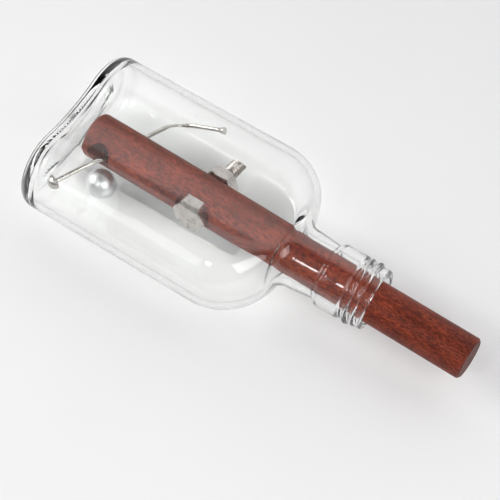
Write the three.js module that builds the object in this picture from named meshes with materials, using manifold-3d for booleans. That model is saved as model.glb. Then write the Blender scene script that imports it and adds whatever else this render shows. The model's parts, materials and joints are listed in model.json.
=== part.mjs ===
// An impossible bottle: a clear kidney flask lying on its flat back, with a wooden rod through its neck.
// A hex bolt and nut cross the rod, a twice-bent nail hangs in a slanting hole near the rod's inner end,
// and a steel ball lies loose on the glass floor.
// Millimetres. +X runs along the flask from base to mouth, +Z is up, the table is z = 0.
import * as THREE from 'three';
import { mergeVertices } from 'three/addons/utils/BufferGeometryUtils.js';
import { ParametricGeometry } from 'three/addons/geometries/ParametricGeometry.js';
import Module from 'manifold-3d';

const wasm = await Module();
wasm.setup();

// ---- driving dimensions ---------------------------------------------------------------------------
const TURN = 2 * Math.PI;
const GAP = 0.3; // left between pieces that touch

// flask
const BOTTLE_LENGTH = 143;
const HALF_WIDTH = 37.6;
const END_RADIUS = 18.4; // round sides
const BELLY = 1; // how far the back swells below the round sides
const REST_HALF_WIDTH = 6; // flat strip down the middle of the back
const DISH = 2.2; // hollow of the upper face
const WALL = 2.6;
const DISH_THICKENING = 1.4; // extra glass under the middle of the hollow
const BASE_THICKNESS = 3.6;
const HEEL_RADIUS = 5.5;
const INNER_HEEL_RADIUS = 5;
const PUSH_UP = 1.4; // hollow of the base
const PUSH_UP_SHARE = 0.55; // of the base's width is at full hollow
const STANDING_RING_SHARE = 0.82; // of the base's width is inside its flat edge
const SHOULDER_FROM_MOUTH = 61.3; // where the straight sides end
const SHOULDER_RADIUS = 23;
const FILLET_RADIUS = 5.5; // shoulder into neck
const NECK_RADIUS = 12.6;
const NECK_WAIST_RADIUS = 11.6;
const WAIST_FROM_MOUTH = 22.2;
const WAIST_LENGTH = 1;
const BORE_RADIUS = 9.8;

// screw finish at the mouth
const COLLAR_RADIUS = 13.4;
const COLLAR_START = 20.4; // from the mouth
const COLLAR_END = 10;
const COLLAR_EDGE = 0.6; // length of its slope down to the finish
const FINISH_RADIUS = 12.65;
const LIP_ROUND = 1;
const THREAD_CREST_RADIUS = 13.75;
const THREAD_START = 8.6; // from the mouth
const THREAD_PITCH = 3.2;
const THREAD_TURNS = 1.6;
const THREAD_BEAD = 1.15; // radius of the glass ridge

// rod
const ROD_RADIUS = 8.6;
const ROD_OUT = 41.6; // sticks out of the mouth
const ROD_LENGTH = 175;
const ROD_CHAMFER = 0.8;
const ROD_INNER_ROUND = 1.6;
const ROD_YAW = THREE.MathUtils.degToRad(-1.18); // it lies a little askew in the neck
const ROD_SIDE = -0.76; // its axis at the mouth, off the flask's axis
const ROD_DROP = -0.33;

// hex hardware: a quarter-inch thread, one and a quarter inches long, with a half-inch head and nut
const BOLT_FROM_MOUTH = 79.3;
const BOLT_ROLL = THREE.MathUtils.degToRad(-15.4); // the nut end dips
const BOLT_RADIUS = 3.1;
const BOLT_LENGTH = 31.75; // under the head
const BOLT_END_CHAMFER = 0.8;
const HEAD_HEIGHT = 4.4;
const ACROSS_FLATS = 12.7;
const NUT_HEIGHT = 5.5;
const CORNER_CONE = Math.tan(Math.PI / 6); // slope of the cone that turns off the hexagons' corners
const BLANK_CLEARANCE = 1; // how far the turned blank reaches past those corners
const HOLE_RADIUS = 3.45;
const SPOT_FACE_RADIUS = 8;
const SPOT_FACE_AT = 7; // its floor, from the rod's axis
const SPOT_FACE_DEEP = 6; // the cutter's length past the floor

// nail
const NAIL_RADIUS = 0.95;
const NAIL_FROM_MOUTH = 119.9; // where its straight part crosses the rod's axis
const NAIL_LEAN = THREE.MathUtils.degToRad(18.8);
const NAIL_HOLE_FROM_MOUTH = 121.9;
const NAIL_HOLE_RADIUS = 5;
const NAIL_BEND_CUT = 4; // where a bend starts, from its corner
const NAIL_HEAD_RADIUS = 3.1;
const NAIL_HEAD_HEIGHT = 3.2;
const NAIL_HEAD_TAPER = 0.9; // length of the cone under the head
const NAIL_DOME = [[0, 1], [0.55, 0.85], [0.9, 0.4], [1, 0]]; // shares of its radius and height, from the top
const NAIL_TIP_RADIUS = 1.6;
const NAIL_TIP_LENGTH = 3.4;

// ball
const BALL_RADIUS = 6.35;
const BALL_FROM_MOUTH = 121.6;
const BALL_SIDE = -10.6;

// facets
const FLASK_SIDES = 64;
const ROD_SIDES = 48;
const HARDWARE_SIDES = 24;
const CUTTER_SIDES = 32; // of the spot faces and the nail's hole
const CHAMFER_SIDES = 48; // of the cone that turns off the hexagons' corners
const NAIL_TIP_SIDES = 16;
const BALL_SIDES = 28;
const BALL_RINGS = 18;
const HEEL_STEPS = 4;
const SHOULDER_STEPS = 9;
const FILLET_STEPS = 4;
const THREAD_STEPS = 44; // along the mouth's thread
const THREAD_SEGMENTS = 8; // round its bead
const NAIL_STEPS = 40; // along the nail
const NAIL_SEGMENTS = 6; // round it
const MERGE_DISTANCE = 1e-4; // points closer than this are one point
const NARROWEST_STRAIGHT = 0.01; // a section with less room between its round sides is a circle

// places that follow from them
const ROD_REACH = ROD_OUT * Math.cos(ROD_YAW) + (ROD_RADIUS - ROD_CHAMFER) * Math.sin(-ROD_YAW);
const MOUTH_X = (BOTTLE_LENGTH - ROD_REACH) / 2; // puts the whole object's middle at x = 0
const AXIS_Z = END_RADIUS + BELLY;

// ---- solids ---------------------------------------------------------------------------------------
function toSolid(geometry) {
  const bare = geometry.clone();
  for (const name of Object.keys(bare.attributes)) {
    if (name !== 'position') bare.deleteAttribute(name);
  }
  const merged = mergeVertices(bare, MERGE_DISTANCE);
  const index = merged.index.array;
  const corners = [];
  for (let i = 0; i < index.length; i += 3) {
    const [a, b, c] = index.slice(i, i + 3);
    if (a !== b && b !== c && c !== a) corners.push(a, b, c);
  }
  const vertProperties = new Float32Array(merged.attributes.position.array);
  const triVerts = new Uint32Array(corners);
  return new wasm.Manifold(new wasm.Mesh({ numProp: 3, vertProperties, triVerts }));
}

function toGeometry(solid) {
  const mesh = solid.getMesh();
  const geometry = new THREE.BufferGeometry();
  geometry.setAttribute('position', new THREE.BufferAttribute(mesh.vertProperties, 3));
  geometry.setIndex(new THREE.BufferAttribute(mesh.triVerts, 1));
  geometry.computeVertexNormals();
  return geometry;
}

function namedMesh(name, solid, material) {
  const mesh = new THREE.Mesh(toGeometry(solid), material);
  mesh.name = name;
  return mesh;
}

// a round bar along +Y from one height to another
function bar(radius, from, to, sides = HARDWARE_SIDES) {
  return new THREE.CylinderGeometry(radius, radius, to - from, sides).translate(0, (from + to) / 2, 0);
}

// ---- flask ----------------------------------------------------------------------------------------
// One cross-section in Y and Z: a flat strip and gentle belly, two round sides and a hollow front,
// all tangent. With no room between the round sides it is a circle.
function sectionPoints({ halfWidth, endRadius, dish, belly }) {
  const reach = halfWidth - endRadius;
  const path = new THREE.Path();
  if (reach < NARROWEST_STRAIGHT) {
    path.absarc(0, 0, endRadius, -Math.PI / 2, 1.5 * Math.PI);
    return path.getSpacedPoints(FLASK_SIDES);
  }
  const back = endRadius + belly;
  const strip = REST_HALF_WIDTH * Math.min(1, reach / (2 * REST_HALF_WIDTH));
  const bellyRadius = (back ** 2 + (reach - strip) ** 2 - endRadius ** 2) / (2 * belly);
  const bellyTilt = Math.atan2(reach - strip, bellyRadius - back);
  const valley = endRadius - dish;
  const dishRadius = (valley ** 2 + reach ** 2 - endRadius ** 2) / (2 * dish);
  const tilt = Math.atan2(reach, valley + dishRadius);
  const down = -Math.PI / 2;
  path.moveTo(0, -back);
  path.lineTo(strip, -back);
  path.absarc(strip, bellyRadius - back, bellyRadius, down, down + bellyTilt);
  path.absarc(reach, 0, endRadius, down + bellyTilt, tilt - down);
  path.absarc(0, valley + dishRadius, dishRadius, down + tilt, down - tilt, true);
  path.absarc(-reach, 0, endRadius, -down - tilt, 3 * -down - bellyTilt);
  path.absarc(-strip, bellyRadius - back, bellyRadius, down - bellyTilt, down);
  path.lineTo(0, -back);
  return path.getSpacedPoints(FLASK_SIDES);
}

// sections between the round neck and the full body, found from their half width
function blendSection(halfWidth, neckRadius, body) {
  const share = (halfWidth - neckRadius) / (body.halfWidth - neckRadius);
  return {
    halfWidth,
    endRadius: neckRadius + (body.endRadius - neckRadius) * share,
    dish: body.dish * share ** 2,
    belly: body.belly * share,
  };
}

// shoulder arc and neck fillet, from the body towards the neck, as [x from the mouth, half width]
function shoulderCurve(body, shoulderRadius, neckRadius, filletRadius) {
  const low = body.halfWidth - shoulderRadius;
  const rise = neckRadius + filletRadius - low;
  const run = Math.sqrt((shoulderRadius + filletRadius) ** 2 - rise ** 2);
  const meet = Math.atan2(run, rise); // the angle from straight outwards where the arcs meet
  const points = [];
  for (let i = 0; i <= SHOULDER_STEPS; i++) {
    const a = (meet * i) / SHOULDER_STEPS;
    points.push([-SHOULDER_FROM_MOUTH + shoulderRadius * Math.sin(a), low + shoulderRadius * Math.cos(a)]);
  }
  for (let i = 1; i <= FILLET_STEPS; i++) {
    const a = meet * (1 - i / FILLET_STEPS);
    points.push([
      -SHOULDER_FROM_MOUTH + run - filletRadius * Math.sin(a),
      neckRadius + filletRadius * (1 - Math.cos(a)),
    ]);
  }
  return points;
}

// a quarter turn as [along, across] shares, from the end face round to the side
function quarter(steps) {
  return Array.from({ length: steps + 1 }, (_, i) => {
    const a = (Math.PI / 2) * (i / steps);
    return [1 - Math.cos(a), 1 - Math.sin(a)];
  });
}

function round(x, radius) {
  return { x, section: { halfWidth: radius, endRadius: radius } };
}

function outerStations() {
  const body = { halfWidth: HALF_WIDTH, endRadius: END_RADIUS, dish: DISH, belly: BELLY };
  const inset = (by) => ({ ...body, halfWidth: HALF_WIDTH - by, endRadius: END_RADIUS - by });
  const base = -BOTTLE_LENGTH;
  const stations = [
    { x: base + PUSH_UP, section: inset(HEEL_RADIUS), scale: 0 },
    { x: base + PUSH_UP, section: inset(HEEL_RADIUS), scale: PUSH_UP_SHARE },
    { x: base, section: inset(HEEL_RADIUS), scale: STANDING_RING_SHARE },
  ];
  for (const [along, across] of quarter(HEEL_STEPS)) {
    stations.push({ x: base + HEEL_RADIUS * along, section: inset(HEEL_RADIUS * across) });
  }
  stations.push({ x: (base - SHOULDER_FROM_MOUTH) / 2, section: body });
  for (const [x, halfWidth] of shoulderCurve(body, SHOULDER_RADIUS, NECK_RADIUS, FILLET_RADIUS)) {
    stations.push({ x, section: blendSection(halfWidth, NECK_RADIUS, body) });
  }
  stations.push(
    round(-WAIST_FROM_MOUTH - WAIST_LENGTH, NECK_WAIST_RADIUS),
    round(-WAIST_FROM_MOUTH, NECK_WAIST_RADIUS),
    round(-COLLAR_START, COLLAR_RADIUS),
    round(-COLLAR_END - COLLAR_EDGE, COLLAR_RADIUS),
    round(-COLLAR_END, FINISH_RADIUS),
    round(-LIP_ROUND, FINISH_RADIUS),
    round(-LIP_ROUND / 3, FINISH_RADIUS - LIP_ROUND / 3),
    round(0, FINISH_RADIUS - LIP_ROUND),
  );
  return stations;
}

function innerStations() {
  const body = {
    halfWidth: HALF_WIDTH - WALL,
    endRadius: END_RADIUS - WALL,
    dish: DISH + DISH_THICKENING,
    belly: BELLY,
  };
  const inset = (by) => ({ ...body, halfWidth: body.halfWidth - by, endRadius: body.endRadius - by });
  const floor = -BOTTLE_LENGTH + BASE_THICKNESS;
  const stations = [{ x: floor, section: inset(INNER_HEEL_RADIUS), scale: 0 }];
  for (const [along, across] of quarter(HEEL_STEPS)) {
    stations.push({ x: floor + INNER_HEEL_RADIUS * along, section: inset(INNER_HEEL_RADIUS * across) });
  }
  stations.push({ x: (floor - SHOULDER_FROM_MOUTH) / 2, section: body });
  const curve = shoulderCurve(body, SHOULDER_RADIUS - WALL, BORE_RADIUS, FILLET_RADIUS + WALL);
  for (const [x, halfWidth] of curve) {
    stations.push({ x, section: blendSection(halfWidth, BORE_RADIUS, body) });
  }
  stations.push(round(-LIP_ROUND, BORE_RADIUS), round(0, BORE_RADIUS + LIP_ROUND));
  return stations.reverse();
}

function finishThread() {
  const helix = new THREE.Curve();
  const rise = THREAD_PITCH * THREAD_TURNS;
  const middle = THREAD_CREST_RADIUS - THREAD_BEAD;
  helix.getPoint = (t, target = new THREE.Vector3()) => {
    const a = TURN * THREAD_TURNS * t;
    return target.set(-THREAD_START + rise * t, middle * Math.cos(a), middle * Math.sin(a));
  };
  const bead = new THREE.Shape().absarc(0, 0, THREAD_BEAD, 0, TURN);
  return new THREE.ExtrudeGeometry(bead, {
    extrudePath: helix,
    steps: THREAD_STEPS,
    curveSegments: THREAD_SEGMENTS,
  });
}

function flask() {
  const rings = [...outerStations(), ...innerStations()].map(({ x, section, scale = 1 }) =>
    sectionPoints(section).map((p) => new THREE.Vector3(x, p.x * scale, p.y * scale)),
  );
  const skin = (around, along, target) => {
    const ring = rings[Math.round(along * (rings.length - 1))];
    target.copy(ring[Math.round(around * FLASK_SIDES)]);
  };
  const shell = toSolid(new ParametricGeometry(skin, FLASK_SIDES, rings.length - 1));
  const ridge = toSolid(finishThread());
  return shell.add(ridge);
}

// ---- rod and what crosses it ----------------------------------------------------------------------
// Everything on the rod is built round the rod's own axis, +X, with x = 0 at the mouth.
function rod() {
  const inner = ROD_OUT - ROD_LENGTH;
  const half = ROD_INNER_ROUND * (1 - Math.SQRT1_2); // half way round the rounded end
  const profile = [
    new THREE.Vector2(0, inner),
    new THREE.Vector2(ROD_RADIUS - ROD_INNER_ROUND, inner),
    new THREE.Vector2(ROD_RADIUS - half, inner + half),
    new THREE.Vector2(ROD_RADIUS, inner + ROD_INNER_ROUND),
    new THREE.Vector2(ROD_RADIUS, ROD_OUT - ROD_CHAMFER),
    new THREE.Vector2(ROD_RADIUS - ROD_CHAMFER, ROD_OUT),
    new THREE.Vector2(0, ROD_OUT),
  ];
  let solid = toSolid(new THREE.LatheGeometry(profile, ROD_SIDES).rotateZ(-Math.PI / 2));
  const reach = ROD_RADIUS * 2;
  const boltCutters = [
    bar(HOLE_RADIUS, -reach, reach),
    bar(SPOT_FACE_RADIUS, SPOT_FACE_AT, SPOT_FACE_AT + SPOT_FACE_DEEP, CUTTER_SIDES),
    bar(SPOT_FACE_RADIUS, -SPOT_FACE_AT - SPOT_FACE_DEEP, -SPOT_FACE_AT, CUTTER_SIDES),
  ];
  for (const cutter of boltCutters) {
    solid = solid.subtract(toSolid(cutter.rotateX(BOLT_ROLL).translate(-BOLT_FROM_MOUTH, 0, 0)));
  }
  const nailCutter = bar(NAIL_HOLE_RADIUS, -reach, reach, CUTTER_SIDES)
    .rotateZ(-NAIL_LEAN)
    .rotateX(BOLT_ROLL)
    .translate(-NAIL_HOLE_FROM_MOUTH, 0, 0);
  return solid.subtract(toSolid(nailCutter));
}

// a hexagonal prism along +Y with a flat on top, its corners turned off at the ends named
function hexPrism(from, to, ends) {
  const cornerRadius = ACROSS_FLATS / Math.sqrt(3);
  const prism = new THREE.CylinderGeometry(cornerRadius, cornerRadius, to - from, 6)
    .rotateY(Math.PI / 6)
    .translate(0, (from + to) / 2, 0);
  const beyond = cornerRadius + BLANK_CLEARANCE;
  const low = ends.includes('low') ? ACROSS_FLATS / 2 : beyond;
  const high = ends.includes('high') ? ACROSS_FLATS / 2 : beyond;
  const profile = [
    new THREE.Vector2(0, from),
    new THREE.Vector2(low, from),
    new THREE.Vector2(beyond, from + (beyond - low) * CORNER_CONE),
    new THREE.Vector2(beyond, to - (beyond - high) * CORNER_CONE),
    new THREE.Vector2(high, to),
    new THREE.Vector2(0, to),
  ];
  const blank = new THREE.LatheGeometry(profile, CHAMFER_SIDES);
  return toSolid(prism).intersect(toSolid(blank));
}

// head on the -Y side of the rod, thread towards +Y
function bolt() {
  const seat = -SPOT_FACE_AT - GAP;
  const head = hexPrism(seat - HEAD_HEIGHT, seat, ['low']);
  const root = seat - HEAD_HEIGHT / 2; // the shank starts inside the head
  const end = seat + BOLT_LENGTH;
  const profile = [
    new THREE.Vector2(0, root),
    new THREE.Vector2(BOLT_RADIUS, root),
    new THREE.Vector2(BOLT_RADIUS, end - BOLT_END_CHAMFER),
    new THREE.Vector2(BOLT_RADIUS - BOLT_END_CHAMFER, end),
    new THREE.Vector2(0, end),
  ];
  return head.add(toSolid(new THREE.LatheGeometry(profile, HARDWARE_SIDES)));
}

function nut() {
  const seat = SPOT_FACE_AT + GAP;
  const body = hexPrism(seat, seat + NUT_HEIGHT, ['low', 'high']);
  return body.subtract(toSolid(bar(HOLE_RADIUS, 0, 2 * SPOT_FACE_AT + NUT_HEIGHT)));
}

// straight runs joined by round bends
function bentPath(points, bendCut) {
  const path = new THREE.CurvePath();
  let from = points[0];
  for (let i = 1; i < points.length - 1; i++) {
    const corner = points[i];
    const before = corner.clone().lerp(points[i - 1], bendCut / corner.distanceTo(points[i - 1]));
    const after = corner.clone().lerp(points[i + 1], bendCut / corner.distanceTo(points[i + 1]));
    path.add(new THREE.LineCurve3(from, before));
    path.add(new THREE.QuadraticBezierCurve3(before, corner, after));
    from = after;
  }
  path.add(new THREE.LineCurve3(from, points[points.length - 1]));
  return path;
}

// Built round the nail's own straight part, +Y, with the rod's axis at y = 0 and +X along the rod.
const NAIL_CORNERS = [
  new THREE.Vector3(-3.1, -28.8, -5.9), // head
  new THREE.Vector3(0, -13.5, 0), // bend by the hole's mouth
  new THREE.Vector3(0, 31, 0), // far bend
  new THREE.Vector3(17.4, 37.6, 8.6), // tip
];

// a turned piece laid along a line, from one point towards another
function alongLine(geometry, from, towards) {
  const direction = towards.clone().sub(from).normalize();
  const turn = new THREE.Quaternion().setFromUnitVectors(new THREE.Vector3(0, 1, 0), direction);
  return geometry.applyQuaternion(turn).translate(from.x, from.y, from.z);
}

function nail() {
  const shank = new THREE.Shape().absarc(0, 0, NAIL_RADIUS, 0, TURN);
  const path = bentPath(NAIL_CORNERS, NAIL_BEND_CUT);
  const wire = new THREE.ExtrudeGeometry(shank, {
    extrudePath: path,
    steps: NAIL_STEPS,
    curveSegments: NAIL_SEGMENTS,
  });
  const headProfile = [
    ...NAIL_DOME.map(([out, up]) => new THREE.Vector2(NAIL_HEAD_RADIUS * out, -NAIL_HEAD_HEIGHT * up)),
    new THREE.Vector2(NAIL_RADIUS, NAIL_HEAD_TAPER),
    new THREE.Vector2(0, NAIL_HEAD_TAPER),
  ];
  const [headAt, nearBend, farBend, tipAt] = NAIL_CORNERS;
  const head = alongLine(new THREE.LatheGeometry(headProfile, HARDWARE_SIDES), headAt, nearBend);
  const flare = new THREE.CylinderGeometry(NAIL_RADIUS, NAIL_TIP_RADIUS, NAIL_TIP_LENGTH, NAIL_TIP_SIDES)
    .translate(0, NAIL_TIP_LENGTH / 2, 0);
  const tip = alongLine(flare, tipAt, farBend);
  return toSolid(wire).add(toSolid(head)).add(toSolid(tip));
}

function ball() {
  return toSolid(new THREE.SphereGeometry(BALL_RADIUS, BALL_SIDES, BALL_RINGS));
}

// ---- materials ------------------------------------------------------------------------------------
const glass = new THREE.MeshStandardMaterial({
  color: 0xe9f0ec, roughness: 0.03, metalness: 0, transparent: true, opacity: 0.3,
});
const wood = new THREE.MeshStandardMaterial({ color: 0x7a3423, roughness: 0.5, metalness: 0 });
const zincPlate = new THREE.MeshStandardMaterial({ color: 0xbdb7ae, roughness: 0.35, metalness: 1 });
const brightSteel = new THREE.MeshStandardMaterial({ color: 0xc4bfb5, roughness: 0.22, metalness: 1 });
const polishedSteel = new THREE.MeshStandardMaterial({ color: 0xd0d2d3, roughness: 0.1, metalness: 1 });

// ---- assembly -------------------------------------------------------------------------------------
const bottle = namedMesh('glass_bottle', flask(), glass);
bottle.position.set(MOUTH_X, 0, AXIS_Z);

const boltGroup = new THREE.Group();
boltGroup.position.x = -BOLT_FROM_MOUTH;
boltGroup.rotation.x = BOLT_ROLL;
boltGroup.add(namedMesh('hex_bolt', bolt(), zincPlate), namedMesh('hex_nut', nut(), zincPlate));

const nailGroup = new THREE.Group();
nailGroup.position.x = -NAIL_FROM_MOUTH;
nailGroup.rotation.set(BOLT_ROLL, 0, -NAIL_LEAN);
nailGroup.add(namedMesh('bent_nail', nail(), brightSteel));

const rodGroup = new THREE.Group();
rodGroup.position.set(MOUTH_X, ROD_SIDE, AXIS_Z + ROD_DROP);
rodGroup.rotation.z = ROD_YAW;
rodGroup.add(namedMesh('wooden_rod', rod(), wood), boltGroup, nailGroup);

const steelBall = namedMesh('steel_ball', ball(), polishedSteel);
steelBall.position.set(MOUTH_X - BALL_FROM_MOUTH, BALL_SIDE, WALL + BALL_RADIUS + GAP);

const group = new THREE.Group();
group.add(bottle, rodGroup, steelBall);

export default group;
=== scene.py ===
"""An impossible bottle: a clear kidney flask on its back with a wooden rod through its neck.

A hex bolt with its nut and a bent nail cross the rod, and a steel ball lies loose on the glass floor.
"""

import json
import math

import bpy
import numpy as np
from mathutils import Matrix, Vector


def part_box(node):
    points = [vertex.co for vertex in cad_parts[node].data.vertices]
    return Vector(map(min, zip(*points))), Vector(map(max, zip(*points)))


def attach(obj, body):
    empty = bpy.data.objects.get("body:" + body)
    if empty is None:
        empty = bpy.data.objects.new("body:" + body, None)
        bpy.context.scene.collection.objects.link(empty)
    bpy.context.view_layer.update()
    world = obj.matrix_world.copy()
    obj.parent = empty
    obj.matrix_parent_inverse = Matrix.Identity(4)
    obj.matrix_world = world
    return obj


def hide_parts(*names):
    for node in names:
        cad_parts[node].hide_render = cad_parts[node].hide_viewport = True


MM = 0.001
TURN = 2 * math.pi
SHARP_DEGREES = 35  # edges steeper than this stay crisp
ROUND_SHARP_DEGREES = 60  # the same, on pieces that are round all over
ROD_SHARP_DEGREES = 30  # the same, once the rod's holes are cut
GAP = 0.3 * MM  # the CAD's room between pieces that touch
NARROWEST_STRAIGHT = 0.01 * MM  # a section with less room between its round sides is a circle

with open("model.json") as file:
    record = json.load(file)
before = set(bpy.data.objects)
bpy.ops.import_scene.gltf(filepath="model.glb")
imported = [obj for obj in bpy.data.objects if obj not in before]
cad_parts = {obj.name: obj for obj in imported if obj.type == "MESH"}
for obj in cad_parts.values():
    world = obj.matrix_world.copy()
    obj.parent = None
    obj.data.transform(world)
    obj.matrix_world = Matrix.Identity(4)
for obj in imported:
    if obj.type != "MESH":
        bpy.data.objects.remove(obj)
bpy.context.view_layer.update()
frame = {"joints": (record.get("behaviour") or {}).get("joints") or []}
joints = {joint["name"]: joint for joint in frame["joints"]}

# ---- the flask, from its CAD box, in metres -------------------------------------------------------
bottle_low, bottle_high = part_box("glass_bottle")
BOTTLE_LENGTH = bottle_high[0] - bottle_low[0]
HALF_WIDTH = (bottle_high[1] - bottle_low[1]) / 2
BELLY = 1.0 * MM  # swell of the back below the round sides
END_RADIUS = (bottle_high[2] - bottle_low[2] - BELLY) / 2
MOUTH = Vector((bottle_high[0], 0, bottle_low[2] + END_RADIUS + BELLY))
REST_HALF_WIDTH = 6 * MM
DISH = 2.2 * MM
WALL = 2.6 * MM
DISH_THICKENING = 1.4 * MM  # extra glass under the middle of the hollow
BASE_THICKNESS = 3.6 * MM
HEEL_RADIUS = 5.5 * MM
INNER_HEEL_RADIUS = 5 * MM
PUSH_UP = 1.4 * MM
BASE_RING = 0.8  # share of the base inside its standing ring
BASE_HOLLOW = 0.5  # share of the base that is at the full push-up
BASE_RIPPLE = 0.04 * MM  # faint rings left by the mould
BASE_RIPPLES = 9
CENTRE_SHARE = 0.02  # size of the first ring of an end face, as a share of that face
SHOULDER_X = -61.3 * MM  # from the mouth, as every x of the flask
SHOULDER_RADIUS = 23 * MM
FILLET_RADIUS = 5.5 * MM
NECK_RADIUS = 12.6 * MM
NECK_START = 0.5 * MM  # straight length between the shoulder's fillet and the neck
WAIST_X = -22.2 * MM
WAIST_RADIUS = 11.6 * MM
BORE_RADIUS = 9.8 * MM
COLLAR_START = -20.4 * MM
COLLAR_END = -10 * MM
COLLAR_EDGE = 0.6 * MM  # length of its slope down to the finish
COLLAR_RADIUS = 13.4 * MM
NECK_ROUNDING = 0.9 * MM  # softens the corners of neck and collar
PLAIN_FINISH = 1.0 * MM  # length of the finish that is left plain beside the collar
FINISH_RADIUS = 12.65 * MM
LIP_ROUND = 1.0 * MM
THREAD_START = -8.6 * MM
THREAD_PITCH = 3.2 * MM
THREAD_TURNS = 1.6
THREAD_HEIGHT = 1.1 * MM
THREAD_HALF_WIDTH = 0.95 * MM
THREAD_FADE = 0.12  # turns over which each end of the ridge fades out
THREAD_FULLNESS = 0.6  # power of the ridge's profile: lower is fuller
THREAD_RING_STEP = 0.12 * MM

# ---- the rod and its hardware ---------------------------------------------------------------------
ROD_RADIUS = 8.6 * MM
ROD_LENGTH = 175 * MM
ROD_OUT = 41.6 * MM  # sticks out of the mouth
ROD_CHAMFER = 0.8 * MM
ROD_INNER_ROUND = 1.6 * MM
ROD_END_DISC = 0.5 * MM  # radius of the first ring of an end face
ROD_SIDE_MARGIN = 1.25  # where its side's rings start, in sizes of the edge beside them
BOLT_FROM_MOUTH = 79.3 * MM
SPOT_FACE_RADIUS = 8 * MM
SPOT_FACE_AT = 7 * MM
BOLT_HOLE_RADIUS = 3.45 * MM
BOLT_RADIUS = 3.12 * MM
BOLT_PITCH = 1.27 * MM
BOLT_THREAD_DEPTH = 0.62 * MM
BOLT_CREST = 1.2  # power of the thread's profile: 1 is a plain V
BOLT_LENGTH = 31.75 * MM
BOLT_POINT_LENGTH = 0.9 * MM  # the last of the thread, where it tapers
BOLT_POINT_DEPTH = 0.56 * MM
SEAT = SPOT_FACE_AT + GAP
HEAD_HEIGHT = 4.4 * MM
NUT_HEIGHT = 5.5 * MM
NUT_CLEARANCE = 0.12 * MM
NUT_COUNTERSINK = 0.5 * MM
ACROSS_FLATS = 12.7 * MM
HEX_CORNER = 0.985  # corner radius left by the slight rounding, as a share of the sharp one
HEX_FACE_RADIUS = 0.47 * ACROSS_FLATS  # of the round face inside the turned-off corners
HEX_CHAMFER_SLOPE = math.tan(math.radians(30))
HEX_EDGE = 0.05 * MM  # narrow ring that keeps a plain end's edge crisp
NAIL_RADIUS = 0.95 * MM
NAIL_HOLE_RADIUS = 5 * MM
NAIL_HOLE_BEHIND = 2.0 * MM  # from the nail to the hole's axis, towards the flask's base
NAIL_BEND_RADIUS = 5.5 * MM
NAIL_CORNERS = [(-3.1, -28.8, -5.9), (0, -13.5, 0), (0, 31, 0), (17.4, 37.6, 8.6)]  # mm, from head to tip
NAIL_HEAD_RADIUS = 3.1 * MM
NAIL_HEAD_HEIGHT = 3.2 * MM
NAIL_HEAD_UNDERSIDE = [  # (distance below the dome, radius)
    (0.25 * MM, 0.94 * NAIL_HEAD_RADIUS),
    (0.8 * MM, 1.15 * NAIL_RADIUS),
]
NAIL_TIP_RADIUS = 1.6 * MM
NAIL_TIP_LENGTH = 3.4 * MM
NAIL_HEAD_POLE = 0.02  # share of the head's radius at the top of its dome
BALL_POLE = 0.002  # share of the ball's radius at its poles

# ---- how finely the meshes are divided ------------------------------------------------------------
AROUND = 288  # points round a cross-section of the flask
ARC_POINTS = 400  # points of one arc before they are spaced out evenly
BASE_STEPS = 90  # enough to carry the ripples
BASE_RING_STEPS = 5
HEEL_STEPS = 20
BODY_STEPS = 12
SHOULDER_STEPS = 48
FILLET_STEPS = 16
CORNER_STEPS = 5
LIP_STEPS = 8
FLOOR_STEPS = 12
INNER_BODY_STEPS = 30
BORE_STEPS = 30
ROD_AROUND = 160
ROD_STEPS = 40
ROD_ROUND_STEPS = 7
CUTTER_AROUND = 96
HEX_AROUND = 192
THREAD_AROUND = 96
RINGS_PER_PITCH = 14
NAIL_AROUND = 40
NAIL_STEP = 0.5 * MM
BEND_STEPS = 12
DOME_STEPS = 10
BALL_RINGS = 48
BALL_AROUND = 96


# ---- meshes ---------------------------------------------------------------------------------------
def even(start, end, count):
    """Equally spaced numbers, both ends included."""
    return np.linspace(start, end, count).tolist()


def make_mesh(name, points, faces, matrix=Matrix(), sharp_degrees=SHARP_DEGREES):
    """A smooth-shaded object from local points and faces."""
    mesh = bpy.data.meshes.new(name)
    mesh.from_pydata([tuple(p) for p in points], [], faces)
    mesh.validate()
    mesh.shade_smooth()
    mesh.set_sharp_from_angle(angle=math.radians(sharp_degrees))
    obj = bpy.data.objects.new(name, mesh)
    obj.matrix_world = matrix
    bpy.context.scene.collection.objects.link(obj)
    return obj


def skin(name, rings, matrix=Matrix(), sharp_degrees=SHARP_DEGREES, ring_shaped=False):
    """Rings of equal point counts joined in order. The two ends close on themselves, or on each other."""
    count = len(rings[0])
    points = [p for ring in rings for p in ring]
    faces = []
    last = len(rings) if ring_shaped else len(rings) - 1
    for i in range(last):
        here = i * count
        there = (i + 1) % len(rings) * count
        for k in range(count):
            n = (k + 1) % count
            faces.append((here + k, here + n, there + n, there + k))
    if not ring_shaped:
        faces.append(tuple(reversed(range(count))))
        faces.append(tuple(range((len(rings) - 1) * count, len(rings) * count)))
    return make_mesh(name, points, faces, matrix, sharp_degrees)


def arc(centre, radius, start, end):
    """Points of an arc, as two columns."""
    angle = np.linspace(start, end, ARC_POINTS)
    return np.column_stack((centre[0] + radius * np.cos(angle), centre[1] + radius * np.sin(angle)))


def spaced(outline, count):
    """count points at equal distances along a closed outline, without the repeated last one."""
    step = np.hypot(*np.diff(outline, axis=0).T)
    along = np.concatenate(([0], np.cumsum(step)))
    at = np.linspace(0, along[-1], count, endpoint=False)
    return np.column_stack([np.interp(at, along, outline[:, i]) for i in (0, 1)])


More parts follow.
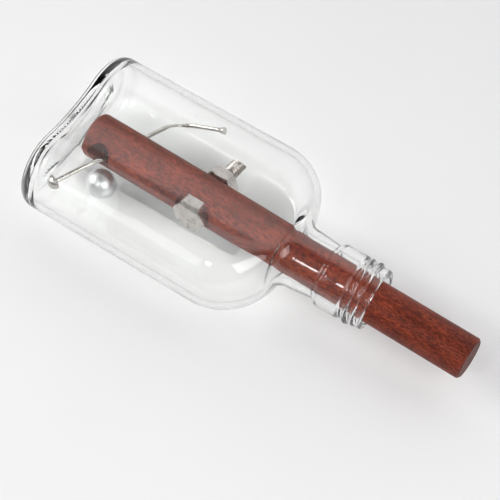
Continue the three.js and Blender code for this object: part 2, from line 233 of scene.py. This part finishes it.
def section(half_width, end_radius, dish=0.0, belly=0.0):
    """A cross-section of the flask: a flat strip and gentle belly, round sides and a hollow front."""
    reach = half_width - end_radius
    if reach < NARROWEST_STRAIGHT:
        return spaced(arc((0, 0), end_radius, -math.pi / 2, 1.5 * math.pi), AROUND)
    back = end_radius + belly
    strip = min(REST_HALF_WIDTH, reach / 2)
    belly_radius = (back**2 + (reach - strip) ** 2 - end_radius**2) / (2 * belly)
    belly_tilt = math.atan2(reach - strip, belly_radius - back)
    valley = end_radius - dish
    dish_radius = (valley**2 + reach**2 - end_radius**2) / (2 * dish)
    tilt = math.atan2(reach, valley + dish_radius)
    down = -math.pi / 2
    right_half = np.concatenate(
        (
            [(0, -back)],
            arc((strip, belly_radius - back), belly_radius, down, down + belly_tilt),
            arc((reach, 0), end_radius, down + belly_tilt, tilt - down),
            arc((0, valley + dish_radius), dish_radius, down + tilt, down),
        )
    )
    left_half = right_half[::-1] * (-1, 1)
    return spaced(np.concatenate((right_half, left_half)), AROUND)


def blend_section(half_width, neck_radius, body):
    """A section between the round neck and the body, found from its half width."""
    share = max(0, (half_width - neck_radius) / (body["half_width"] - neck_radius))
    end_radius = neck_radius + (body["end_radius"] - neck_radius) * share
    return section(half_width, end_radius, body["dish"] * share**2, body["belly"] * share)


def shoulder_curve(half_width, shoulder_radius, neck_radius, fillet_radius):
    """(x, half width) along the shoulder's arc and the fillet into the neck."""
    low = half_width - shoulder_radius
    rise = neck_radius + fillet_radius - low
    run = math.sqrt((shoulder_radius + fillet_radius) ** 2 - rise**2)
    meet = math.atan2(run, rise)
    shoulder = [
        (SHOULDER_X + shoulder_radius * math.sin(a), low + shoulder_radius * math.cos(a))
        for a in even(0, meet, SHOULDER_STEPS)
    ]
    fillet = [
        (SHOULDER_X + run - fillet_radius * math.sin(a), neck_radius + fillet_radius * (1 - math.cos(a)))
        for a in even(meet, 0, FILLET_STEPS)[1:]
    ]
    return shoulder + fillet


def rounded(profile, radius):
    """An (x, radius) profile with its inner corners rounded."""
    out = [profile[0]]
    for before, corner, after in zip(profile, profile[1:], profile[2:]):
        before, corner, after = (Vector(p) for p in (before, corner, after))
        cut = min(radius, (before - corner).length / 2, (after - corner).length / 2)
        a = corner + (before - corner).normalized() * cut
        b = corner + (after - corner).normalized() * cut
        for t in even(0, 1, CORNER_STEPS):
            out.append(tuple((1 - t) ** 2 * a + 2 * t * (1 - t) * corner + t**2 * b))
    out.append(profile[-1])
    return out


def smooth_step(t):
    """0 to 1 with level ends."""
    t = min(1, max(0, t))
    return t * t * (3 - 2 * t)


def thread_height(x, angle):
    """How far the mouth's screw thread stands out at a place on the finish."""
    height = 0
    for whole in range(math.ceil(THREAD_TURNS) + 1):
        turns = (angle / TURN) % 1 + whole
        fade = smooth_step(turns / THREAD_FADE) * smooth_step((THREAD_TURNS - turns) / THREAD_FADE)
        away = (x - THREAD_START - THREAD_PITCH * turns) / THREAD_HALF_WIDTH
        if abs(away) < 1:
            height = max(height, fade * THREAD_HEIGHT * (1 - away**2) ** THREAD_FULLNESS)
    return height


def round_ring(x, radius, threaded=False):
    """A round cross-section of the flask, starting at the table side as the others do."""
    points = []
    for k in range(AROUND):
        angle = -math.pi / 2 + TURN * k / AROUND
        r = radius + (thread_height(x, angle) if threaded else 0)
        points.append((x, r * math.cos(angle), r * math.sin(angle)))
    return points


def at_x(x, outline, scale=1.0):
    """An outline's points in the plane at x, scaled about the flask's axis."""
    return [(x, scale * y, scale * z) for y, z in outline]


def quarter(steps):
    """Shares (along, inset) of a heel from the end face round to the side."""
    return [(1 - math.cos(a), 1 - math.sin(a)) for a in even(0, math.pi / 2, steps)]


def outer_rings():
    """The flask's outside, from the middle of its base to the start of its lip."""
    body = dict(half_width=HALF_WIDTH, end_radius=END_RADIUS, dish=DISH, belly=BELLY)
    base = -BOTTLE_LENGTH
    face = section(HALF_WIDTH - HEEL_RADIUS, END_RADIUS - HEEL_RADIUS, DISH, BELLY)
    rings = []
    for scale in even(CENTRE_SHARE, BASE_RING, BASE_STEPS):
        hollow = PUSH_UP * (1 - smooth_step((scale - BASE_HOLLOW) / (BASE_RING - BASE_HOLLOW)))
        ripple = BASE_RIPPLE * math.sin(TURN * BASE_RIPPLES * scale)
        rings.append(at_x(base + hollow + abs(ripple), face, scale))
    for scale in even(BASE_RING, 1, BASE_RING_STEPS)[1:-1]:
        rings.append(at_x(base, face, scale))
    for along, inset in quarter(HEEL_STEPS):
        cut = HEEL_RADIUS * inset
        outline = section(HALF_WIDTH - cut, END_RADIUS - cut, DISH, BELLY)
        rings.append(at_x(base + HEEL_RADIUS * along, outline))
    for x in even(base + HEEL_RADIUS, SHOULDER_X, BODY_STEPS)[1:-1]:
        rings.append(at_x(x, section(**body)))
    for x, half_width in shoulder_curve(HALF_WIDTH, SHOULDER_RADIUS, NECK_RADIUS, FILLET_RADIUS):
        rings.append(at_x(x, blend_section(half_width, NECK_RADIUS, body)))
    neck = [
        (rings[-1][0][0] + NECK_START, NECK_RADIUS),
        (WAIST_X, WAIST_RADIUS),
        (COLLAR_START, COLLAR_RADIUS),
        (COLLAR_END - COLLAR_EDGE, COLLAR_RADIUS),
        (COLLAR_END, FINISH_RADIUS),
        (COLLAR_END + 0.8 * PLAIN_FINISH, FINISH_RADIUS),  # stops short of the thread's first ring
    ]
    rings += [round_ring(x, radius) for x, radius in rounded(neck, NECK_ROUNDING)]
    for x in np.arange(COLLAR_END + PLAIN_FINISH, -LIP_ROUND, THREAD_RING_STEP):
        rings.append(round_ring(x, FINISH_RADIUS, threaded=True))
    return rings


def inner_rings():
    """The flask's inside, from the bore to the middle of its floor."""
    body = dict(
        half_width=HALF_WIDTH - WALL,
        end_radius=END_RADIUS - WALL,
        dish=DISH + DISH_THICKENING,
        belly=BELLY,
    )
    floor = -BOTTLE_LENGTH + BASE_THICKNESS

    def inset_section(cut):
        return section(body["half_width"] - cut, body["end_radius"] - cut, body["dish"], BELLY)

    face = inset_section(INNER_HEEL_RADIUS)
    rings = [at_x(floor, face, scale) for scale in even(CENTRE_SHARE, 1, FLOOR_STEPS)[:-1]]
    for along, inset in quarter(HEEL_STEPS):
        rings.append(at_x(floor + INNER_HEEL_RADIUS * along, inset_section(INNER_HEEL_RADIUS * inset)))
    for x in even(floor + INNER_HEEL_RADIUS, SHOULDER_X, INNER_BODY_STEPS)[1:-1]:
        rings.append(at_x(x, section(**body)))
    curve = shoulder_curve(body["half_width"], SHOULDER_RADIUS - WALL, BORE_RADIUS, FILLET_RADIUS + WALL)
    for x, half_width in curve:
        rings.append(at_x(x, blend_section(half_width, BORE_RADIUS, body)))
    for x in even(rings[-1][0][0], -LIP_ROUND, BORE_STEPS)[1:]:
        rings.append(round_ring(x, BORE_RADIUS))
    return list(reversed(rings))


def lip_rings():
    """The mouth's rounded rim, from outside to inside."""
    rings = []
    for a in even(0, math.pi / 2, LIP_STEPS)[1:]:
        back, inset = LIP_ROUND * (1 - math.sin(a)), LIP_ROUND * (1 - math.cos(a))
        rings.append(round_ring(-back, FINISH_RADIUS - inset))
    for a in even(0, math.pi / 2, LIP_STEPS)[:-1]:
        back, inset = LIP_ROUND * (1 - math.cos(a)), LIP_ROUND * (1 - math.sin(a))
        rings.append(round_ring(-back, BORE_RADIUS + inset))
    return rings


def make_flask():
    rings = outer_rings() + lip_rings() + inner_rings()
    flask = skin("flask", rings, Matrix.Translation(MOUTH), sharp_degrees=ROUND_SHARP_DEGREES)
    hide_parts("glass_bottle")
    return flask


# ---- frames on the rod ----------------------------------------------------------------------------
def frame_of(origin, x, y, z):
    """The matrix of a place with three unit axes."""
    return Matrix.LocRotScale(origin, Matrix((x, y, z)).transposed().to_quaternion(), None)


rod_x = Vector(joints["rod_slide"]["axis"]).normalized()
bolt_y = Vector(joints["nut_travel"]["axis"]).normalized()
bolt_z = rod_x.cross(bolt_y)
nail_y = Vector(joints["nail_swing"]["axis"]).normalized()
nail_z = rod_x.cross(nail_y).normalized()
bolt_frame = frame_of(Vector(joints["bolt_turn"]["pos_m"]), rod_x, bolt_y, bolt_z)
nail_frame = frame_of(Vector(joints["nail_swing"]["pos_m"]), nail_y.cross(nail_z), nail_y, nail_z)


def lathe_rings(profile, around, axis="Y"):
    """Rings about an axis from (along, radius) pairs."""
    rings = []
    for along, radius in profile:
        ring = []
        for k in range(around):
            a = TURN * k / around
            across, up = radius * math.sin(a), radius * math.cos(a)
            ring.append((across, along, up) if axis == "Y" else (along, -across, up))
        rings.append(ring)
    return rings


def cut(obj, cutter):
    """Takes cutter out of obj, and removes it."""
    modifier = obj.modifiers.new("cut", "BOOLEAN")
    modifier.operation = "DIFFERENCE"
    modifier.solver = "EXACT"
    modifier.object = cutter
    bpy.context.view_layer.update()
    done = bpy.data.meshes.new_from_object(obj.evaluated_get(bpy.context.evaluated_depsgraph_get()))
    obj.modifiers.clear()
    obj.data = done
    bpy.data.objects.remove(cutter)


def bar(radius, start, end, matrix):
    """A round cutter along Y."""
    return skin("cutter", lathe_rings([(start, radius), (end, radius)], CUTTER_AROUND), matrix)


def make_rod():
    """The dowel, with its hole and seats for the bolt and its slanting hole for the nail."""
    outer = BOLT_FROM_MOUTH + ROD_OUT
    inner = outer - ROD_LENGTH
    side = even(inner + ROD_SIDE_MARGIN * ROD_INNER_ROUND, outer - ROD_SIDE_MARGIN * ROD_CHAMFER, ROD_STEPS)
    rounding = [
        (inner + ROD_INNER_ROUND * (1 - math.sin(a)), ROD_RADIUS - ROD_INNER_ROUND * (1 - math.cos(a)))
        for a in even(math.pi / 2, 0, ROD_ROUND_STEPS)
    ]
    profile = [
        (inner, ROD_END_DISC),
        (inner, ROD_RADIUS - ROD_INNER_ROUND),
        *rounding,
        *[(x, ROD_RADIUS) for x in side],
        (outer - ROD_CHAMFER, ROD_RADIUS),
        (outer, ROD_RADIUS - ROD_CHAMFER),
        (outer, ROD_END_DISC),
    ]
    rod = skin("rod", lathe_rings(profile, ROD_AROUND, axis="X"), bolt_frame)
    reach = 2 * ROD_RADIUS
    cut(rod, bar(BOLT_HOLE_RADIUS, -reach, reach, bolt_frame))
    cut(rod, bar(SPOT_FACE_RADIUS, SPOT_FACE_AT, reach, bolt_frame))
    cut(rod, bar(SPOT_FACE_RADIUS, -reach, -SPOT_FACE_AT, bolt_frame))
    hole = nail_frame.copy()
    hole.translation -= rod_x * NAIL_HOLE_BEHIND
    cut(rod, bar(NAIL_HOLE_RADIUS, -reach, reach, hole))
    rod.data.shade_smooth()
    rod.data.set_sharp_from_angle(angle=math.radians(ROD_SHARP_DEGREES))
    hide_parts("wooden_rod")
    return rod


def hex_radius(angle):
    """Distance from a hexagon's centre to its side, with slightly rounded corners."""
    off_flat = (angle + math.pi / 6) % (math.pi / 3) - math.pi / 6
    corner = ACROSS_FLATS / math.sqrt(3)
    return min(ACROSS_FLATS / 2 / math.cos(off_flat), HEX_CORNER * corner)


def hex_ring(along, limit=math.inf):
    """A hexagonal ring about Y, no larger than a limiting radius."""
    ring = []
    for k in range(HEX_AROUND):
        a = TURN * k / HEX_AROUND
        r = min(hex_radius(a), limit)
        ring.append((r * math.sin(a), along, r * math.cos(a)))
    return ring


def chamfer_ring(along, inwards):
    """The ring where a hexagon's flats meet the cone that turns off its corners."""
    ring = []
    for k in range(HEX_AROUND):
        a = TURN * k / HEX_AROUND
        r = hex_radius(a)
        drop = max(0, r - HEX_FACE_RADIUS) * HEX_CHAMFER_SLOPE
        ring.append((r * math.sin(a), along + inwards * drop, r * math.cos(a)))
    return ring


def hex_end(along, inwards, chamfered):
    """The two rings of one end of a hexagonal prism, from the end face inwards."""
    if chamfered:
        return [hex_ring(along, HEX_FACE_RADIUS), chamfer_ring(along, inwards)]
    return [hex_ring(along), hex_ring(along + inwards * HEX_EDGE)]


def hex_prism(start, end, end_chamfered):
    """Rings of a hexagonal prism about Y, its corners turned off at the start and, if asked, at the end."""
    return hex_end(start, 1, True) + hex_end(end, -1, end_chamfered)[::-1]


def thread_rings(start, end):
    """Rings about Y of the bolt's screw thread, with rounded crests and a tapered point at the end."""
    rings = []
    for along in np.arange(start, end, BOLT_PITCH / RINGS_PER_PITCH):
        point = BOLT_POINT_DEPTH * smooth_step((along - end + BOLT_POINT_LENGTH) / BOLT_POINT_LENGTH)
        ring = []
        for k in range(THREAD_AROUND):
            a = TURN * k / THREAD_AROUND
            phase = (along / BOLT_PITCH - k / THREAD_AROUND) % 1
            groove = BOLT_THREAD_DEPTH * abs(2 * phase - 1) ** BOLT_CREST
            r = BOLT_RADIUS - groove - point
            ring.append((r * math.sin(a), along, r * math.cos(a)))
        rings.append(ring)
    return rings


def join(name, objects):
    """One object of several that share a frame."""
    points, faces = [], []
    for obj in objects:
        base = len(points)
        points += [v.co[:] for v in obj.data.vertices]
        faces += [tuple(base + i for i in face.vertices) for face in obj.data.polygons]
    matrix = objects[0].matrix_world.copy()
    for obj in objects:
        bpy.data.objects.remove(obj)
    return make_mesh(name, points, faces, matrix)


def make_bolt():
    head = skin("head", hex_prism(-SEAT - HEAD_HEIGHT, -SEAT, end_chamfered=False), bolt_frame)
    shank = skin("shank", thread_rings(-SEAT, BOLT_LENGTH - SEAT), bolt_frame)
    bolt = join("bolt", [head, shank])
    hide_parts("hex_bolt")
    return bolt


def make_nut():
    start, end = SEAT, SEAT + NUT_HEIGHT
    outside = hex_prism(start, end, end_chamfered=True)
    hole = BOLT_RADIUS + NUT_CLEARANCE
    inside = [
        (end, hole + NUT_COUNTERSINK),
        (end - NUT_COUNTERSINK, hole),
        (start + NUT_COUNTERSINK, hole),
        (start, hole + NUT_COUNTERSINK),
    ]
    rings = outside + lathe_rings(inside, HEX_AROUND)
    nut = skin("nut", rings, bolt_frame, ring_shaped=True)
    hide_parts("hex_nut")
    return nut


def bent_path(corners, bend_radius, step):
    """Points along straight runs joined by round bends."""
    corners = [Vector(c) for c in corners]
    path = [corners[0]]

    def straight(a, b):
        count = max(2, int((b - a).length / step))
        path.extend(a.lerp(b, t) for t in even(0, 1, count)[1:])

    for before, corner, after in zip(corners, corners[1:], corners[2:]):
        a = corner + (before - corner).normalized() * bend_radius
        b = corner + (after - corner).normalized() * bend_radius
        straight(path[-1], a)
        for t in even(0, 1, BEND_STEPS)[1:]:
            path.append((1 - t) ** 2 * a + 2 * t * (1 - t) * corner + t**2 * b)
    straight(path[-1], corners[-1])
    return path


def swept_rings(path, radii):
    """Rings round a path, kept from twisting."""
    rings = []
    side = Vector((0, 0, 1))
    for i, (at, radius) in enumerate(zip(path, radii)):
        ahead = (path[min(i + 1, len(path) - 1)] - path[max(i - 1, 0)]).normalized()
        side = (side - ahead * side.dot(ahead)).normalized()
        other = ahead.cross(side)
        ring = [
            at + radius * (math.cos(a) * side + math.sin(a) * other)
            for a in (TURN * k / NAIL_AROUND for k in range(NAIL_AROUND))
        ]
        rings.append([tuple(p) for p in ring])
    return rings


def make_nail():
    """One swept skin: the domed head, its underside, then the shank out to the flared tip."""
    path = bent_path([Vector(c) * MM for c in NAIL_CORNERS], NAIL_BEND_RADIUS, NAIL_STEP)
    out = (path[0] - path[1]).normalized()
    dome = [(t, NAIL_HEAD_RADIUS * max(NAIL_HEAD_POLE, math.sqrt(1 - t**2))) for t in even(1, 0, DOME_STEPS)]
    head_path = [path[0] + out * NAIL_HEAD_HEIGHT * t for t, _ in dome]
    head_radii = [radius for _, radius in dome]
    under = [path[0] - out * along for along, _ in NAIL_HEAD_UNDERSIDE]
    under_radii = [radius for _, radius in NAIL_HEAD_UNDERSIDE]
    shank = path[3:]  # starts past the head's underside
    length = np.cumsum([0] + [(b - a).length for a, b in zip(shank, shank[1:])]).tolist()
    radii = []
    for done in length:
        share = smooth_step(1 - (length[-1] - done) / NAIL_TIP_LENGTH)
        radii.append(NAIL_RADIUS + (NAIL_TIP_RADIUS - NAIL_RADIUS) * share)
    rings = swept_rings(head_path + under + shank, head_radii + under_radii + radii)
    in_place = [[tuple(nail_frame @ Vector(p)) for p in ring] for ring in rings]
    nail = skin("nail", in_place)
    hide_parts("bent_nail")
    return nail


def make_ball():
    low, high = (Vector(corner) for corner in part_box("steel_ball"))
    radius = (high.x - low.x) / 2
    profile = [
        (-radius * math.cos(a), radius * max(BALL_POLE, math.sin(a)))
        for a in even(0, math.pi, BALL_RINGS)
    ]
    centre = Matrix.Translation((low + high) / 2)
    rings = lathe_rings(profile, BALL_AROUND)
    ball = skin("ball", rings, centre, sharp_degrees=ROUND_SHARP_DEGREES)
    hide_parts("steel_ball")
    return ball


# ---- materials ------------------------------------------------------------------------------------
class Nodes:
    """A short way to build a node material."""

    def __init__(self, name):
        self.material = bpy.data.materials.new(name)
        self.material.use_nodes = True
        self.tree = self.material.node_tree
        self.shader = self.tree.nodes["Principled BSDF"]
        self.output = self.tree.nodes["Material Output"]

    def add(self, kind):
        return self.tree.nodes.new("ShaderNode" + kind)

    def link(self, source, target):
        self.tree.links.new(source, target)

    def stretched(self, scale):
        """Object coordinates scaled by axis."""
        place = self.add("TexCoord")
        mapping = self.add("Mapping")
        mapping.inputs["Scale"].default_value = scale
        self.link(place.outputs["Object"], mapping.inputs["Vector"])
        return mapping.outputs["Vector"]

    def noise(self, vector, scale, detail=4.0, roughness=0.55, distortion=0.0):
        """A noise value, mostly between 0.3 and 0.7."""
        node = self.add("TexNoise")
        node.inputs["Scale"].default_value = scale
        node.inputs["Detail"].default_value = detail
        node.inputs["Roughness"].default_value = roughness
        node.inputs["Distortion"].default_value = distortion
        self.link(vector, node.inputs["Vector"])
        return node.outputs["Fac"]

    def ramp(self, value, stops):
        """Colours at (position, colour) stops of a value."""
        node = self.add("ValToRGB")
        elements = node.color_ramp.elements
        while len(elements) < len(stops):
            elements.new(0.5)
        for element, (position, colour) in zip(elements, stops):
            element.position = position
            element.color = (*colour, 1)
        self.link(value, node.inputs["Fac"])
        return node.outputs["Color"]

    def span(self, value, low, high, start=0.3, end=0.7):
        """A value from start to end, mapped to low to high."""
        node = self.add("MapRange")
        node.inputs["From Min"].default_value = start
        node.inputs["From Max"].default_value = end
        node.inputs["To Min"].default_value = low
        node.inputs["To Max"].default_value = high
        self.link(value, node.inputs["Value"])
        return node.outputs["Result"]

    def mixed(self, a, b, share, kind="MIX"):
        """Two colours blended. share is a number or a socket."""
        node = self.add("Mix")
        node.data_type = "RGBA"
        node.blend_type = kind
        if isinstance(share, float):
            node.inputs["Factor"].default_value = share
        else:
            self.link(share, node.inputs["Factor"])
        self.link(a, node.inputs["A"])
        self.link(b, node.inputs["B"])
        return node.outputs["Result"]

    def bump(self, height, distance, strength=1.0):
        node = self.add("Bump")
        node.inputs["Strength"].default_value = strength
        node.inputs["Distance"].default_value = distance
        self.link(height, node.inputs["Height"])
        self.link(node.outputs["Normal"], self.shader.inputs["Normal"])


def glass_material():
    """Clear glass, with painted shade where it is seen edge on. Light reaches through it to what lies
    inside.
    """
    m = Nodes("clear_glass")
    place = m.stretched((1, 1, 1))
    m.shader.inputs["Transmission Weight"].default_value = 1.0
    m.shader.inputs["IOR"].default_value = 1.5
    tint = m.ramp(m.noise(place, 30), [(0.3, (0.975, 0.98, 0.975)), (0.7, (0.985, 0.99, 0.986))])
    # painted shade: the glass's colour darkens towards its outline, where it is seen edge on
    grazing = m.add("LayerWeight").outputs["Facing"]
    edge = m.ramp(grazing, [(0.65, (1, 1, 1)), (0.97, (0.32, 0.33, 0.325))])
    m.link(m.mixed(tint, edge, 1.0, "MULTIPLY"), m.shader.inputs["Base Color"])
    m.link(m.span(m.noise(place, 400), 0.0, 0.02), m.shader.inputs["Roughness"])
    m.bump(m.noise(place, 55, detail=1.0), 0.35 * MM, 0.25)
    path = m.add("LightPath")
    clear = m.add("BsdfTransparent")
    clear.inputs["Color"].default_value = (0.92, 0.925, 0.92, 1)
    mix = m.add("MixShader")
    m.link(path.outputs["Is Shadow Ray"], mix.inputs[0])
    m.link(m.shader.outputs["BSDF"], mix.inputs[1])
    m.link(clear.outputs["BSDF"], mix.inputs[2])
    m.link(mix.outputs["Shader"], m.output.inputs["Surface"])
    return m.material


def wood_material():
    """Stained wood with its grain along X. The end face at the +X end is darker."""
    m = Nodes("red_wood")
    fibres = m.noise(m.stretched((0.3, 1, 1)), 1500, detail=6, roughness=0.7)
    bands = m.noise(m.stretched((0.25, 1, 1)), 220, detail=3, distortion=0.4)
    pores = m.noise(m.stretched((0.3, 1, 1)), 2600, detail=2)
    dark = m.ramp(fibres, [(0.38, (0.045, 0.006, 0.003)), (0.62, (0.2, 0.029, 0.011))])
    light = m.ramp(fibres, [(0.38, (0.1, 0.012, 0.005)), (0.62, (0.33, 0.056, 0.022))])
    colour = m.mixed(dark, light, m.span(bands, 0, 1, 0.35, 0.65))
    pore = m.ramp(pores, [(0.38, (0.5, 0.45, 0.45)), (0.46, (1, 1, 1))])
    stained = m.mixed(colour, pore, 1.0, "MULTIPLY")
    # the end face at the +X end is made darker
    split = m.add("SeparateXYZ")
    m.link(m.add("TexCoord").outputs["Normal"], split.inputs["Vector"])
    darker_end_face = m.ramp(split.outputs["X"], [(0.8, (1, 1, 1)), (0.95, (0.5, 0.42, 0.42))])
    m.link(m.mixed(stained, darker_end_face, 1.0, "MULTIPLY"), m.shader.inputs["Base Color"])
    m.link(m.span(fibres, 0.42, 0.6), m.shader.inputs["Roughness"])
    m.shader.inputs["Specular IOR Level"].default_value = 0.25
    m.bump(fibres, 0.1 * MM, 0.5)
    return m.material


def steel_material(name, base, bright, rough, grain, depth):
    """Metal with a fine grain and duller patches. rough is a pair of roughnesses."""
    m = Nodes(name)
    m.shader.inputs["Metallic"].default_value = 1.0
    fine = m.noise(m.stretched((1, 1, 1)), grain, detail=5)
    patches = m.noise(m.stretched((1, 1, 1)), 260, detail=3)
    m.link(m.ramp(patches, [(0.35, base), (0.65, bright)]), m.shader.inputs["Base Color"])
    m.link(m.span(patches, *rough), m.shader.inputs["Roughness"])
    m.bump(fine, depth, 0.4)
    return m.material


def floor_material():
    """A smooth pale table top."""
    m = Nodes("pale_table")
    place = m.stretched((1, 1, 1))
    tone = m.ramp(m.noise(place, 6), [(0.3, (0.86, 0.855, 0.86)), (0.7, (0.88, 0.875, 0.88))])
    m.link(tone, m.shader.inputs["Base Color"])
    m.link(m.span(m.noise(place, 120), 0.55, 0.7), m.shader.inputs["Roughness"])
    m.bump(m.noise(place, 900), 0.1 * MM, 0.15)
    return m.material


# ---- stage ----------------------------------------------------------------------------------------
def make_floor(material):
    half = 3.0  # large enough to reach past the picture from every side
    corners = [(-half, -half, 0), (half, -half, 0), (half, half, 0), (-half, half, 0)]
    floor = make_mesh("floor", corners, [(0, 1, 2, 3)])
    floor.data.materials.append(material)


LIGHT_TARGET = Vector((0, 0, 0.02))  # the middle of the object


def area_light(name, direction, distance, size, power):
    """A soft box that faces the object from a direction."""
    light = bpy.data.lights.new(name, "AREA")
    light.shape = "RECTANGLE"
    light.size, light.size_y = size
    light.energy = power
    obj = bpy.data.objects.new(name, light)
    towards = Vector(direction).normalized()
    obj.location = LIGHT_TARGET + towards * distance
    obj.rotation_euler = towards.to_track_quat("Z", "Y").to_euler()
    bpy.context.scene.collection.objects.link(obj)


def make_world():
    """Soft grey surroundings: dark on the near side, bright on the far side, a little brighter high up."""
    world = bpy.data.worlds.new("studio")
    world.use_nodes = True
    nodes, links = world.node_tree.nodes, world.node_tree.links
    place = nodes.new("ShaderNodeTexCoord")
    split = nodes.new("ShaderNodeSeparateXYZ")
    links.new(place.outputs["Generated"], split.inputs["Vector"])
    shades = []
    for axis, stops in (
        ("Z", [(0.0, 0.7), (0.25, 0.9), (0.6, 1.0)]),
        ("Y", [(-0.6, 0.25), (0.2, 0.06), (0.45, 1.0)]),
    ):
        spread = nodes.new("ShaderNodeMapRange")
        spread.inputs["From Min"].default_value = -1
        links.new(split.outputs[axis], spread.inputs["Value"])
        ramp = nodes.new("ShaderNodeValToRGB")
        ramp.color_ramp.elements.new(0.5)
        for element, (position, grey) in zip(ramp.color_ramp.elements, stops):
            element.position = (position + 1) / 2
            element.color = (grey, grey, grey, 1)
        links.new(spread.outputs["Result"], ramp.inputs["Fac"])
        shades.append(ramp.outputs["Color"])
    product = nodes.new("ShaderNodeMix")
    product.data_type = "RGBA"
    product.blend_type = "MULTIPLY"
    product.inputs["Factor"].default_value = 1.0
    links.new(shades[0], product.inputs["A"])
    links.new(shades[1], product.inputs["B"])
    links.new(product.outputs["Result"], nodes["Background"].inputs["Color"])
    nodes["Background"].inputs["Strength"].default_value = 1.0
    bpy.context.scene.world = world


CAMERA_AZIMUTH = math.radians(33.45)
CAMERA_ELEVATION = math.radians(61.14)
CAMERA_DISTANCE = 0.654
CAMERA_LENS = 124.06  # mm
CAMERA_SENSOR = 36  # mm
LOOK_AT = Vector((0.0011, -0.0123, 0.0286))


def make_camera():
    """Looks down on the flask's near side, at the photo's angle."""
    camera = bpy.data.cameras.new("camera")
    camera.lens = CAMERA_LENS
    camera.sensor_width = CAMERA_SENSOR
    obj = bpy.data.objects.new("camera", camera)
    away = Vector(
        (
            math.sin(CAMERA_AZIMUTH) * math.cos(CAMERA_ELEVATION),
            -math.cos(CAMERA_AZIMUTH) * math.cos(CAMERA_ELEVATION),
            math.sin(CAMERA_ELEVATION),
        )
    )
    obj.location = LOOK_AT + away * CAMERA_DISTANCE
    obj.rotation_euler = away.to_track_quat("Z", "Y").to_euler()
    bpy.context.scene.collection.objects.link(obj)
    bpy.context.scene.camera = obj


# ---- the scene ------------------------------------------------------------------------------------
plated = steel_material(
    "plated_steel", (0.46, 0.43, 0.41), (0.64, 0.6, 0.57), rough=(0.22, 0.36), grain=2500, depth=0.03 * MM
)
bright = steel_material(
    "bright_steel", (0.55, 0.53, 0.5), (0.7, 0.68, 0.64), rough=(0.16, 0.3), grain=2500, depth=0.02 * MM
)
polished = steel_material(
    "polished_steel", (0.7, 0.71, 0.72), (0.8, 0.81, 0.82), rough=(0.38, 0.48), grain=3000, depth=0.02 * MM
)
for piece, body, material in (
    (make_flask(), "bottle", glass_material()),
    (make_rod(), "rod", wood_material()),
    (make_bolt(), "bolt", plated),
    (make_nut(), "nut", plated),
    (make_nail(), "nail", bright),
    (make_ball(), "ball", polished),
):
    piece.data.materials.clear()
    piece.data.materials.append(material)
    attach(piece, body)

make_floor(floor_material())
make_world()
area_light("near_softbox", direction=(-0.08, -0.66, 0.75), distance=1.0, size=(0.12, 0.12), power=0.8)
area_light("front_softbox", direction=(-0.33, -0.72, 0.61), distance=1.0, size=(0.18, 0.4), power=0.25)
area_light("left_softbox", direction=(-0.8, -0.3, 0.52), distance=1.2, size=(0.7, 0.7), power=7.6)
area_light("right_softbox", direction=(0.72, -0.25, 0.65), distance=1.2, size=(0.8, 0.8), power=7.0)
make_camera()
bpy.context.scene.view_settings.view_transform = "Standard"
